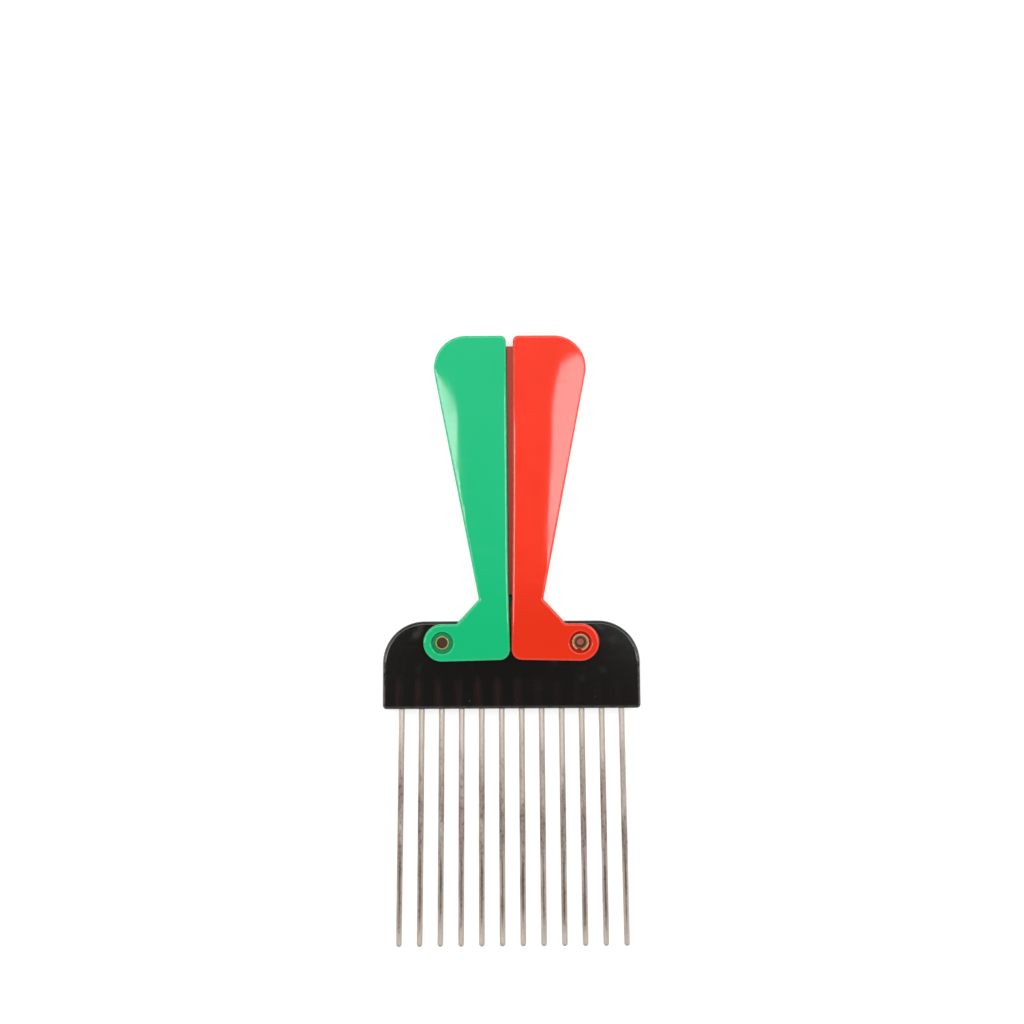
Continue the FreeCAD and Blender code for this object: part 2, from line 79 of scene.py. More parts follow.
# Places read from the frame
RIVET_LOW, RIVET_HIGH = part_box("right_rivet")
PIVOT = (RIVET_LOW + RIVET_HIGH) / 2
RIM_FOOT = RIVET_HIGH.z - RIM_DEPTH
MIDDLE_Z = (cad_box[0][2] + cad_box[1][2]) / 2
HANDLE_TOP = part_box("left_handle")[1].y
TAB_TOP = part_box("comb_head")[1].y
SOCKET_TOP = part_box(TINES[0])[1].y

# Sockets of the Mix node, which has a set for each kind of data
MIX_SHARE = 0
MIX_FIRST_VALUE = 2
MIX_SECOND_VALUE = 3
MIX_FIRST_COLOUR = 6
MIX_SECOND_COLOUR = 7
MIXED_COLOUR = 2


# Object helpers

def select_only(piece):
    bpy.ops.object.select_all(action="DESELECT")
    piece.select_set(True)
    bpy.context.view_layer.objects.active = piece


def apply_modifier(piece, kind, **settings):
    modifier = piece.modifiers.new(kind.title(), kind)
    for name, value in settings.items():
        setattr(modifier, name, value)
    bpy.ops.object.modifier_apply(modifier=modifier.name)


def give_finish(piece, finish):
    piece.data.materials.clear()
    piece.data.materials.append(finish)


# Shader node helpers

def set_sockets(tree, node, inputs):
    """Links each named input to the socket given for it, or sets its value."""
    for name, value in inputs.items():
        if isinstance(value, bpy.types.NodeSocket):
            tree.links.new(value, node.inputs[name])
        else:
            node.inputs[name].default_value = value


def add_node(tree, kind, inputs=None, **settings):
    node = tree.nodes.new(kind)
    for name, value in settings.items():
        setattr(node, name, value)
    set_sockets(tree, node, inputs or {})
    return node


def maths(tree, operation, first, second=0.0):
    return add_node(tree, "ShaderNodeMath", {0: first, 1: second}, operation=operation).outputs[0]


def product(tree, result, *others):
    for other in others:
        result = maths(tree, "MULTIPLY", result, other)
    return result


def total(tree, result, *others):
    for other in others:
        result = maths(tree, "ADD", result, other)
    return result


def rest_of(tree, share):
    return maths(tree, "SUBTRACT", 1.0, share)


def length(tree, across, along):
    square = total(tree, product(tree, across, across), product(tree, along, along))
    return maths(tree, "SQRT", square)


def remap(tree, value, low, high, to_low=0.0, to_high=1.0):
    """Smooth step of a value from low to high."""
    inputs = {"Value": value, "From Min": low, "From Max": high, "To Min": to_low, "To Max": to_high}
    return add_node(tree, "ShaderNodeMapRange", inputs, interpolation_type="SMOOTHSTEP").outputs[0]


def spread(tree, share, low, high):
    """Turns a share from 0 to 1 into a value from low to high."""
    return remap(tree, share, 0.0, 1.0, low, high)


def mix_value(tree, share, first, second):
    inputs = {MIX_SHARE: share, MIX_FIRST_VALUE: first, MIX_SECOND_VALUE: second}
    return add_node(tree, "ShaderNodeMix", inputs).outputs[0]


def mix_colour(tree, share, first, second):
    inputs = {MIX_SHARE: share, MIX_FIRST_COLOUR: first, MIX_SECOND_COLOUR: second}
    return add_node(tree, "ShaderNodeMix", inputs, data_type="RGBA").outputs[MIXED_COLOUR]


def object_place(tree):
    return add_node(tree, "ShaderNodeTexCoord").outputs["Object"]


def object_axis(tree, axis):
    return add_node(tree, "ShaderNodeSeparateXYZ", {0: object_place(tree)}).outputs[axis]


def facing_axes(tree):
    """The direction that the surface faces, by axis."""
    facing = add_node(tree, "ShaderNodeTexCoord").outputs["Normal"]
    return add_node(tree, "ShaderNodeSeparateXYZ", {0: facing}).outputs


def stretched_noise(tree, scale, turn=0.0, detail=2.0):
    """Noise on object coordinates, turned about Z and scaled per axis."""
    place = {"Vector": object_place(tree), "Rotation": (0.0, 0.0, turn), "Scale": scale}
    mapped = add_node(tree, "ShaderNodeMapping", place).outputs[0]
    inputs = {"Vector": mapped, "Scale": 1.0, "Detail": detail}
    return add_node(tree, "ShaderNodeTexNoise", inputs).outputs[0]


def even_noise(tree, size, detail=2.0):
    return stretched_noise(tree, (1.0 / size,) * 3, detail=detail)


def bumped(tree, height, strength=1.0):
    inputs = {"Height": height, "Distance": 1.0, "Strength": strength}
    return add_node(tree, "ShaderNodeBump", inputs).outputs[0]


def new_group(name, inputs, outputs):
    tree = bpy.data.node_groups.new(name, "ShaderNodeTree")
    for label, value in inputs.items():
        socket = tree.interface.new_socket(label, in_out="INPUT", socket_type="NodeSocketFloat")
        socket.default_value = value
    for label in outputs:
        tree.interface.new_socket(label, in_out="OUTPUT", socket_type="NodeSocketFloat")
    return tree, tree.nodes.new("NodeGroupInput").outputs, tree.nodes.new("NodeGroupOutput").inputs


def place_group(tree, group, inputs=None):
    node = tree.nodes.new("ShaderNodeGroup")
    node.node_tree = group
    set_sockets(tree, node, inputs or {})
    return node.outputs


def new_finish(name):
    finish = bpy.data.materials.new(name)
    finish.use_nodes = True
    tree = finish.node_tree
    return finish, tree, tree.nodes["Principled BSDF"]


# Effects that several finishes share

# Hairline scratches, where a band is the stretch of a noise or a measure over which a mask fades in
LONG_SCRATCHES = {"scale": (40, 2600, 40), "turn": 0.5}
LONG_SCRATCH_BAND = (0.66, 0.74)
CROSS_SCRATCHES = {"scale": (30, 2000, 30), "turn": -1.1}
CROSS_SCRATCH_BAND = (0.68, 0.76)
SCRATCHED_PATCH = 22 * MM
SCRATCHED_PATCH_BAND = (0.42, 0.62)


def hairline_scratches():
    """Mask of fine straight scratches from use, in two directions."""
    tree, inputs, outputs = new_group("hairline scratches", {"Amount": 1.0}, ["Mask"])
    long_lines = remap(tree, stretched_noise(tree, **LONG_SCRATCHES), *LONG_SCRATCH_BAND)
    cross_lines = remap(tree, stretched_noise(tree, **CROSS_SCRATCHES), *CROSS_SCRATCH_BAND)
    lines = maths(tree, "MAXIMUM", long_lines, cross_lines)
    patches = remap(tree, even_noise(tree, SCRATCHED_PATCH), *SCRATCHED_PATCH_BAND)
    tree.links.new(product(tree, lines, patches, inputs["Amount"]), outputs["Mask"])
    return tree


# Dust specks, at most one to a cell
SPECK_CELL = 2 * MM


def dust_specks():
    """Mask of sparse specks of dust, with their radius as a share of the cell."""
    tree, inputs, outputs = new_group("dust specks", {"Radius": 0.07, "Rarity": 0.8}, ["Mask"])
    cell_inputs = {"Vector": object_place(tree), "Scale": 1.0 / SPECK_CELL}
    cells = add_node(tree, "ShaderNodeTexVoronoi", cell_inputs).outputs
    near = maths(tree, "LESS_THAN", cells["Distance"], inputs["Radius"])
    chance = add_node(tree, "ShaderNodeSeparateColor", {0: cells["Color"]}).outputs[0]
    kept = maths(tree, "GREATER_THAN", chance, inputs["Rarity"])
    tree.links.new(product(tree, near, kept), outputs["Mask"])
    return tree


# Mould skin
RIPPLES = {"size": 26 * MM, "detail": 0.0}
PEEL = {"size": 1.3 * MM, "detail": 1.0}


def mould_skin():
    """Height of a moulded face: slow ripples and a fine orange peel."""
    tree, inputs, outputs = new_group("mould skin", {"Ripple": 1.0, "Peel": 1.0}, ["Height"])
    ripple = product(tree, even_noise(tree, **RIPPLES), inputs["Ripple"])
    peel = product(tree, even_noise(tree, **PEEL), inputs["Peel"])
    tree.links.new(total(tree, ripple, peel), outputs["Height"])
    return tree


# Edge wear and painted highlight
TURN_BAND = (0.004, 0.12)
EDGE_PATCHES = {"size": 1.6 * MM, "detail": 4.0}
EDGE_PATCH_BAND = (0.25, 0.65)


def edge_wear_and_highlight():
    """Mask along the rounded edges, where the faces turn to the sides, broken up in patches: partly wear,
    partly painted highlight.
    """
    tree, inputs, outputs = new_group("edge wear and highlight", {"Coverage": 1.0}, ["Mask"])
    upward = facing_axes(tree)["Z"]
    squared = product(tree, upward, upward)
    turned = product(tree, squared, rest_of(tree, squared))
    edge = remap(tree, turned, *TURN_BAND)
    patches = remap(tree, even_noise(tree, **EDGE_PATCHES), *EDGE_PATCH_BAND)
    tree.links.new(product(tree, edge, patches, inputs["Coverage"]), outputs["Mask"])
    return tree


# Drawn lines
DRAWN_SCALE = (5000, 25, 5000)
DRAWN_BAND = (0.45, 0.75)


def drawn_lines():
    """Mask and height of the fine lines that drawing leaves along a wire."""
    tree, inputs, outputs = new_group("drawn lines", {"Depth": 1.0}, ["Mask", "Height"])
    lines = stretched_noise(tree, DRAWN_SCALE)
    tree.links.new(remap(tree, lines, *DRAWN_BAND), outputs["Mask"])
    tree.links.new(product(tree, lines, inputs["Depth"]), outputs["Height"])
    return tree


def pivot_distance():
    """Distance from the nearer pivot's axis."""
    tree, inputs, outputs = new_group("pivot distance", {}, ["Distance"])
    across = maths(tree, "SUBTRACT", maths(tree, "ABSOLUTE", object_axis(tree, "X")), PIVOT.x)
    along = maths(tree, "SUBTRACT", object_axis(tree, "Y"), PIVOT.y)
    tree.links.new(length(tree, across, along), outputs["Distance"])
    return tree


# Painted sheen on the ledges in the gap between the handles, by the distance from the gap's middle and the
# height of the ledges
SHEEN_SIDE_BAND = (1.5 * MM, 1.2 * MM)
SHEEN_TOP_BAND = (MIDDLE_Z + 0.8 * MM, MIDDLE_Z + 0.3 * MM)
SHEEN_FOOT_BAND = (MIDDLE_Z - 3.0 * MM, MIDDLE_Z - 2.5 * MM)


def gap_ledge_sheen():
    """Mask of a pale painted sheen on the ledges deep in the gap between the handles."""
    tree, inputs, outputs = new_group("gap ledge sheen", {"Amount": 1.0}, ["Mask"])
    near = remap(tree, maths(tree, "ABSOLUTE", object_axis(tree, "X")), *SHEEN_SIDE_BAND)
    height = object_axis(tree, "Z")
    deep = remap(tree, height, *SHEEN_TOP_BAND)
    held = remap(tree, height, *SHEEN_FOOT_BAND)
    tree.links.new(product(tree, near, deep, held, inputs["Amount"]), outputs["Mask"])
    return tree


# Handle plastic
GREEN = {"main": (0.018, 0.527, 0.221, 1.0), "deep": (0.0105, 0.50, 0.188, 1.0),
         "pale": (0.10, 0.68, 0.36, 1.0), "recess_shade": (0.012, 0.22, 0.085, 1.0)}
RED = {"main": (0.96, 0.047, 0.0215, 1.0), "deep": (0.80, 0.034, 0.0105, 1.0),
       "pale": (0.95, 0.16, 0.11, 1.0), "recess_shade": (0.31, 0.006, 0.0015, 1.0)}
HANDLE_SKIN = {"Ripple": 0.012 * MM, "Peel": 0.00025 * MM}
HANDLE_SPECKS = {"Radius": 0.06, "Rarity": 0.93}
HANDLE_CLOUDS = {"size": 18 * MM, "detail": 3.0}
HANDLE_CLOUD_BAND = (0.3, 0.7)
HANDLE_CLOUD_SHARE = 0.35
# Painted shade: the colour turns deeper below these heights, towards the lugs
HANDLE_LOW_SHADE_BAND = (40 * MM, 0.0)
# Painted highlight with some wear: pale rounded edges, paler higher up the handle
HANDLE_EDGE_BAND = (8 * MM, 25 * MM)
HANDLE_EDGE_SHARES = (0.2, 0.65)
HANDLE_SPECK_SHARE = 0.4
LEDGE_SHEEN_SHARE = 0.85
RECESS_BAND = (RECESS_RADIUS, RECESS_RADIUS * 0.96)
# Painted shade in patches on the floor of the recess round the rivet
RECESS_SHADE_PATCHES = {"size": 1.2 * MM, "detail": 3.0}
RECESS_SHADE_PATCH_BAND = (0.3, 0.7)
RECESS_SHADE_SHARES = (0.6, 0.9)
HANDLE_ROUGHNESS = (0.03, 0.045)
HANDLE_SCRATCH_ROUGHNESS = 0.12
RECESS_ROUGHNESS = 0.03
HANDLE_IOR = 1.53


def moulded_plastic(name, colours, effects):
    """Glossy coloured plastic of a handle, with painted shade in the recess round the rivet and towards the
    lugs, painted highlights on its edges and a painted sheen on the ledges in the gap.
    """
    finish, tree, shader = new_finish(name)
    skin = place_group(tree, effects["skin"], HANDLE_SKIN)["Height"]
    scratches = place_group(tree, effects["scratches"], {"Amount": 1.0})["Mask"]
    specks = place_group(tree, effects["dust"], HANDLE_SPECKS)["Mask"]
    edges = place_group(tree, effects["edges"], {"Coverage": 1.0})["Mask"]
    ledge_sheen = place_group(tree, effects["ledge_sheen"], {"Amount": LEDGE_SHEEN_SHARE})["Mask"]
    distance = place_group(tree, effects["pivot"])["Distance"]
    height = object_axis(tree, "Y")
    cloud = remap(tree, even_noise(tree, **HANDLE_CLOUDS), *HANDLE_CLOUD_BAND)
    # Painted shade towards the lugs, joined by random clouds of the deeper tone
    low_down = remap(tree, height, *HANDLE_LOW_SHADE_BAND)
    deep = maths(tree, "MAXIMUM", product(tree, cloud, HANDLE_CLOUD_SHARE), low_down)
    edge_share = remap(tree, height, *HANDLE_EDGE_BAND, *HANDLE_EDGE_SHARES)
    recess = remap(tree, distance, *RECESS_BAND)
    patches = remap(tree, even_noise(tree, **RECESS_SHADE_PATCHES), *RECESS_SHADE_PATCH_BAND, *RECESS_SHADE_SHARES)
    body = mix_colour(tree, deep, colours["main"], colours["deep"])
    # Pale edges: painted highlight with some wear
    body = mix_colour(tree, product(tree, edges, edge_share), body, colours["pale"])
    body = mix_colour(tree, product(tree, specks, HANDLE_SPECK_SHARE), body, colours["pale"])
    # Painted sheen: pale colour over the ledges deep in the gap
    body = mix_colour(tree, ledge_sheen, body, colours["pale"])
    # Painted shade: the recess round the rivet is darkened in patches
    body = mix_colour(tree, product(tree, recess, patches), body, colours["recess_shade"])
    scratched = product(tree, scratches, HANDLE_SCRATCH_ROUGHNESS)
    dull = product(tree, recess, RECESS_ROUGHNESS)
    roughness = total(tree, spread(tree, cloud, *HANDLE_ROUGHNESS), scratched, dull)
    inputs = {"Base Color": body, "Roughness": roughness, "Normal": bumped(tree, skin), "IOR": HANDLE_IOR}
    set_sockets(tree, shader, inputs)
    return finish


# Head plastic, where the stripes over the tine sockets, a painted brown sheen, fade upwards and are fainter
# on the right
HEAD_BLACK = (0.0054, 0.005, 0.0041, 1.0)
SOCKET_SHEEN_BROWN = (0.0195, 0.0098, 0.008, 1.0)
HEAD_EDGE_WEAR_AND_HIGHLIGHT = (0.13, 0.112, 0.1, 1.0)
HEAD_DUST = (0.3, 0.28, 0.25, 1.0)
HEAD_SKIN = {"Ripple": 0.006 * MM, "Peel": 0.0004 * MM}
HEAD_SCRATCHES = {"Amount": 0.5}
HEAD_SPECKS = {"Radius": 0.08, "Rarity": 0.9}
HEAD_SPECK_SHARE = 0.35
HALF_PITCH = 0.5
SOCKET_SHARE = 0.34
SOCKET_SHIFT = 0.18
SOCKET_TOP_BAND = (SOCKET_TOP, SOCKET_TOP - 5 * MM)
SOCKET_STREAKS = (900, 60, 100)
SOCKET_STREAK_BAND = (0.35, 0.65)
SOCKET_STREAK_SHARES = (0.35, 1.0)
SOCKET_LEFT_BAND = (14 * MM, -6 * MM)
SOCKET_LEFT_SHARES = (0.35, 1.0)
SOCKET_SINK = -0.02 * MM
TAB_BAND = (PIVOT.y + TAB_RISE, PIVOT.y + TAB_RISE + 1 * MM)
# Painted highlight with some wear: strongest on edges facing the sides, faint on the top edges
HEAD_END_BAND = (0.2, 0.6)
HEAD_END_SHARES = (0.25, 1.0)
HEAD_TOP_BAND = (0.1, 0.5)
HEAD_TOP_SHARES = (1.0, 0.3)
SWEPT_INNER_BAND = (6 * MM, 9 * MM)
SWEPT_OUTER_BAND = (15 * MM, 10 * MM)
HAZE_PATCHES = {"size": 8 * MM, "detail": 4.0}
HAZE_BAND = (0.45, 0.75)
HEAD_ROUGHNESS = (0.09, 0.17)
HEAD_SCRATCH_ROUGHNESS = 0.06
TAB_ROUGHNESS = 0.5
HEAD_IOR = 1.5


def over_sockets(tree):
    """Mask of the painted brown sheen in stripes over the buried ends of the tines."""
    across = object_axis(tree, "X")
    along = total(tree, maths(tree, "DIVIDE", across, TINE_PITCH), SOCKET_SHIFT)
    off_tine = maths(tree, "PINGPONG", along, HALF_PITCH)
    stripes = remap(tree, off_tine, HALF_PITCH - SOCKET_SHARE, HALF_PITCH)
    low_down = remap(tree, object_axis(tree, "Y"), *SOCKET_TOP_BAND)
    streaks = remap(tree, stretched_noise(tree, SOCKET_STREAKS), *SOCKET_STREAK_BAND, *SOCKET_STREAK_SHARES)
    leftward = remap(tree, across, *SOCKET_LEFT_BAND, *SOCKET_LEFT_SHARES)
    return product(tree, stripes, low_down, streaks, leftward)


def head_plastic(effects):
    """Black plastic of the comb head, sunk over the tine sockets with a painted brown sheen there, painted
    highlights with some wear on its side edges, and a matt stop tab.
    """
    finish, tree, shader = new_finish("black_head_plastic")
    skin = place_group(tree, effects["skin"], HEAD_SKIN)["Height"]
    scratches = place_group(tree, effects["scratches"], HEAD_SCRATCHES)["Mask"]
    specks = place_group(tree, effects["dust"], HEAD_SPECKS)["Mask"]
    edges = place_group(tree, effects["edges"], {"Coverage": 1.0})["Mask"]
    distance = place_group(tree, effects["pivot"])["Distance"]
    sockets = over_sockets(tree)
    on_tab = remap(tree, object_axis(tree, "Y"), *TAB_BAND)
    facing = facing_axes(tree)
    at_ends = remap(tree, maths(tree, "ABSOLUTE", facing["X"]), *HEAD_END_BAND, *HEAD_END_SHARES)
    off_top = remap(tree, facing["Y"], *HEAD_TOP_BAND, *HEAD_TOP_SHARES)
    # Painted highlight with some wear on the side edges, none on the tab
    marked = product(tree, edges, at_ends, off_top, rest_of(tree, on_tab))
    body = mix_colour(tree, sockets, HEAD_BLACK, SOCKET_SHEEN_BROWN)
    body = mix_colour(tree, marked, body, HEAD_EDGE_WEAR_AND_HIGHLIGHT)
    body = mix_colour(tree, product(tree, specks, HEAD_SPECK_SHARE), body, HEAD_DUST)
    patches = remap(tree, even_noise(tree, **HAZE_PATCHES), *HAZE_BAND)
    swept_inside = remap(tree, distance, *SWEPT_INNER_BAND)
    swept_outside = remap(tree, distance, *SWEPT_OUTER_BAND)
    haze = product(tree, swept_inside, swept_outside, patches)
    scratched = product(tree, scratches, HEAD_SCRATCH_ROUGHNESS)
    matt = product(tree, on_tab, TAB_ROUGHNESS)
    roughness = total(tree, spread(tree, haze, *HEAD_ROUGHNESS), scratched, matt)
    relief = bumped(tree, total(tree, skin, product(tree, sockets, SOCKET_SINK)))
    inputs = {"Base Color": body, "Roughness": roughness, "Normal": relief, "IOR": HEAD_IOR}
    set_sockets(tree, shader, inputs)
    return finish


# Tine steel: the crown faces up, the flanks face sideways, and places along the tines are on Y
STEEL_CROWN = (0.56, 0.495, 0.44, 1.0)
# Painted highlight: the flanks are a lighter steel than the crown
STEEL_LIT_FLANK = (0.7, 0.63, 0.56, 1.0)
STEEL_TARNISH = (0.315, 0.247, 0.213, 1.0)
STEEL_STREAK = (0.15, 0.108, 0.085, 1.0)
STEEL_RUST = (0.24, 0.135, 0.085, 1.0)
STEEL_DARK_REFLECTION = (0.085, 0.058, 0.044, 1.0)
STEEL_PIT = (0.075, 0.048, 0.036, 1.0)
STEEL_LINES = {"Depth": 0.0015 * MM}
STEEL_BUMP = 0.5
STEEL_FLANK_BAND = (0.05, 0.5)
WORN_BAND = (-18 * MM, -62 * MM)
WORN_TIP_BAND = (-101 * MM, -88 * MM)
WORN_TIP_SHARES = (0.2, 1.0)
STAINS = {"scale": (330, 70, 330), "detail": 5.0}
STAIN_BAND = (0.32, 0.68)
STAIN_SHARES = (0.42, 1.28)
# Painted highlight: tarnish thinned on the flanks, lower down the tines
FLANK_LIGHT_BAND = (0.1, 0.7)
FLANK_LIGHT_PLACE_BAND = (-62 * MM, -78 * MM)
FLANK_LIGHT_SHARES = (0.4, 0.8)
RUST_SPOTS = {"scale": (400, 90, 400), "detail": 4.0}
RUST_BAND = (0.4, 0.65)
RUST_LEFT_BAND = (0.1, -0.6)
RUST_SHARES = (0.0, 0.4)
# Painted reflection: a dark line down the crown towards the tip
CORE_SCALE = (600, 60, 600)
CORE_BAND = (0.35, 0.6)
CORE_SHARES = (0.4, 0.9)
CORE_CROWN_BAND = (0.45, 0.05)
CORE_START_BAND = (-66 * MM, -78 * MM)
CORE_END_BAND = (-99 * MM, -88 * MM)
STREAK_SHARES = (0.12, 0.35)
PITS = {"scale": (1400, 800, 1400), "detail": 3.0}
PIT_BAND = (0.5, 0.66)
PIT_TARNISH_BAND = (0.15, 0.8)
PIT_SHARES = (0.08, 0.55)
STEEL_ROUGHNESS = (0.5, 0.6)


def tine_tarnish(tree, height, marked, off_crown):
    """Mask of the brown tarnish in stains, thinned on the flanks as a painted highlight."""
    stains = remap(tree, stretched_noise(tree, **STAINS), *STAIN_BAND, *STAIN_SHARES)
    lit_flank_share = remap(tree, height, *FLANK_LIGHT_PLACE_BAND, *FLANK_LIGHT_SHARES)
    lit_flanks = product(tree, remap(tree, off_crown, *FLANK_LIGHT_BAND), lit_flank_share)
    return product(tree, marked, product(tree, stains, rest_of(tree, lit_flanks)))


def painted_crown_reflection(tree, height, off_crown):
    """Mask of a painted dark reflection in a line down the crown, towards the tip."""
    uneven = remap(tree, stretched_noise(tree, CORE_SCALE), *CORE_BAND, *CORE_SHARES)
    crown = remap(tree, off_crown, *CORE_CROWN_BAND)
    start = remap(tree, height, *CORE_START_BAND)
    end = remap(tree, height, *CORE_END_BAND)
    return product(tree, uneven, crown, start, end)


def tine_steel(effects):
    """Drawn steel wire, bright near the head, and tarnished brown and pitted lower down, with painted
    lighter flanks and a painted dark reflection down the crown.
    """
    finish, tree, shader = new_finish("drawn_tine_steel")
    lines = place_group(tree, effects["lines"], STEEL_LINES)
    height = object_axis(tree, "Y")
    sideways = facing_axes(tree)["X"]
    off_crown = maths(tree, "ABSOLUTE", sideways)
    worn_tip = remap(tree, height, *WORN_TIP_BAND, *WORN_TIP_SHARES)
    marked = product(tree, remap(tree, height, *WORN_BAND), worn_tip)
    tarnish = tine_tarnish(tree, height, marked, off_crown)
    streaks = product(tree, lines["Mask"], spread(tree, tarnish, *STREAK_SHARES))
    rust = remap(tree, stretched_noise(tree, **RUST_SPOTS), *RUST_BAND)
    rust = product(tree, rust, remap(tree, sideways, *RUST_LEFT_BAND, *RUST_SHARES), marked)
    pits = remap(tree, stretched_noise(tree, **PITS), *PIT_BAND)
    pits = product(tree, pits, remap(tree, tarnish, *PIT_TARNISH_BAND, *PIT_SHARES))
    # Painted highlight on the flanks
    body = mix_colour(tree, remap(tree, off_crown, *STEEL_FLANK_BAND), STEEL_CROWN, STEEL_LIT_FLANK)
    body = mix_colour(tree, tarnish, body, STEEL_TARNISH)
    body = mix_colour(tree, streaks, body, STEEL_STREAK)
    body = mix_colour(tree, rust, body, STEEL_RUST)
    body = mix_colour(tree, painted_crown_reflection(tree, height, off_crown), body, STEEL_DARK_REFLECTION)
    body = mix_colour(tree, pits, body, STEEL_PIT)
    roughness = spread(tree, tarnish, *STEEL_ROUGHNESS)
    relief = bumped(tree, lines["Height"], STEEL_BUMP)
    inputs = {"Base Color": body, "Roughness": roughness, "Normal": relief, "Metallic": 1.0}
    set_sockets(tree, shader, inputs)
    return finish


# Rivet brass, with a painted highlight on the rim and painted shade on the lip and down the bore: the lip
# bands are in bore radii
# The rim colour is a painted highlight and the lip colour is painted shade
LEFT_BRASS = {"ring": (0.8, 0.6, 0.29, 1.0), "rim": (0.95, 0.78, 0.47, 1.0),
              "lip": (0.05, 0.03, 0.008, 1.0), "lip_band": (1.42, 1.2)}
RIGHT_BRASS = {"ring": (0.5, 0.34, 0.13, 1.0), "rim": (1.0, 0.85, 0.56, 1.0),
               "lip": (0.24, 0.135, 0.05, 1.0), "lip_band": (1.38, 1.16)}
BRASS_SHADE_AND_TARNISH = (0.42, 0.24, 0.12, 1.0)
BRASS_LINES = {"Depth": 0.002 * MM}
BRASS_BUMP = 0.4
INSIDE_BAND = (BORE_RADIUS * 1.35, BORE_RADIUS * 1.2)
DOWN_BAND = (RIM_FOOT + 0.3 * MM, RIM_FOOT)
RIM_BAND = (RECESS_RADIUS * 0.62, RECESS_RADIUS * 0.72)
LIP_SHARE = 0.75
TARNISH_PATCHES = {"size": 0.9 * MM, "detail": 5.0}
TARNISH_PATCH_BAND = (0.4, 0.7)
TARNISH_SHARE = 0.3
BRASS_ROUGHNESS = (0.45, 0.55)


def rivet_brass(name, brass, effects):
    """Brass of a rivet, painted bright on the rim as a highlight, with painted shade on the lip and down
    the bore, and patches of tarnish.
    """
    finish, tree, shader = new_finish(name)
    distance = place_group(tree, effects["pivot"])["Distance"]
    lines = place_group(tree, effects["lines"], BRASS_LINES)["Height"]
    # Painted shade down the bore below the rim, joined by patches of tarnish
    inside = remap(tree, distance, *INSIDE_BAND)
    bore = product(tree, inside, remap(tree, object_axis(tree, "Z"), *DOWN_BAND))
    patches = remap(tree, even_noise(tree, **TARNISH_PATCHES), *TARNISH_PATCH_BAND)
    dark = maths(tree, "MAXIMUM", bore, product(tree, patches, TARNISH_SHARE))
    # Painted highlight on the rim, and painted shade on the lip
    rim = remap(tree, distance, *RIM_BAND)
    lip = remap(tree, distance, *[BORE_RADIUS * share for share in brass["lip_band"]])
    body = mix_colour(tree, rim, brass["ring"], brass["rim"])
    body = mix_colour(tree, product(tree, lip, LIP_SHARE), body, brass["lip"])
    body = mix_colour(tree, dark, body, BRASS_SHADE_AND_TARNISH)
    roughness = spread(tree, dark, *BRASS_ROUGHNESS)
    relief = bumped(tree, lines, BRASS_BUMP)
    inputs = {"Base Color": body, "Roughness": roughness, "Normal": relief, "Metallic": 1.0}
    set_sockets(tree, shader, inputs)
    return finish


# Floor paper
FLOOR_PALE = (0.55, 0.55, 0.55, 1.0)
FLOOR_GREY = (0.5445, 0.5445, 0.5445, 1.0)
FLOOR_GRAIN = 2 * MM
FLOOR_GRAIN_BAND = (0.3, 0.7)
FLOOR_GLOW = 0.66
LEFT_BORE_LIGHT = (0.091, 0.059, 0.035, 1.0)
RIGHT_BORE_LIGHT = (0.42, 0.141, 0.128, 1.0)
BORE_LIGHT_BAND = (BORE_RADIUS * 1.5, BORE_RADIUS * 2.5)
SLIT_SHADE_BAND = (2.0 * MM, 4.0 * MM)


def white_floor(effects):
    """Matt white paper. Part of its white is its own, so that it reads as white. Under the rivets it is
    painted the colour of the little light that comes down their bores, and round the tab's top it has
    painted shade."""
    finish, tree, shader = new_finish("white_floor_paper")
    rays = add_node(tree, "ShaderNodeLightPath").outputs
    seen = maths(tree, "MAXIMUM", rays["Is Camera Ray"], rays["Is Glossy Ray"])
    seen = maths(tree, "MAXIMUM", seen, rays["Is Transmission Ray"])
    distance = place_group(tree, effects["pivot"])["Distance"]
    open_paper = remap(tree, distance, *BORE_LIGHT_BAND)
    across = object_axis(tree, "X")
    along = maths(tree, "SUBTRACT", object_axis(tree, "Y"), TAB_TOP)
    # Painted shade: the paper's own glow fades out round the top of the stop tab
    clear = remap(tree, length(tree, across, along), *SLIT_SHADE_BAND)
    on_right = maths(tree, "GREATER_THAN", across, 0.0)
    # Painted light: under the bores the paper has the colour of the light that comes down them
    bore_light = mix_colour(tree, on_right, LEFT_BORE_LIGHT, RIGHT_BORE_LIGHT)
    grain = remap(tree, even_noise(tree, FLOOR_GRAIN), *FLOOR_GRAIN_BAND)
    paper = mix_colour(tree, grain, FLOOR_PALE, FLOOR_GREY)
    inputs = {"Base Color": mix_colour(tree, open_paper, bore_light, paper), "Roughness": 1.0,
              "Specular IOR Level": 0.0, "Emission Color": mix_colour(tree, open_paper, bore_light, WHITE),
              "Emission Strength": product(tree, seen, clear, FLOOR_GLOW)}
    set_sockets(tree, shader, inputs)
    return finish


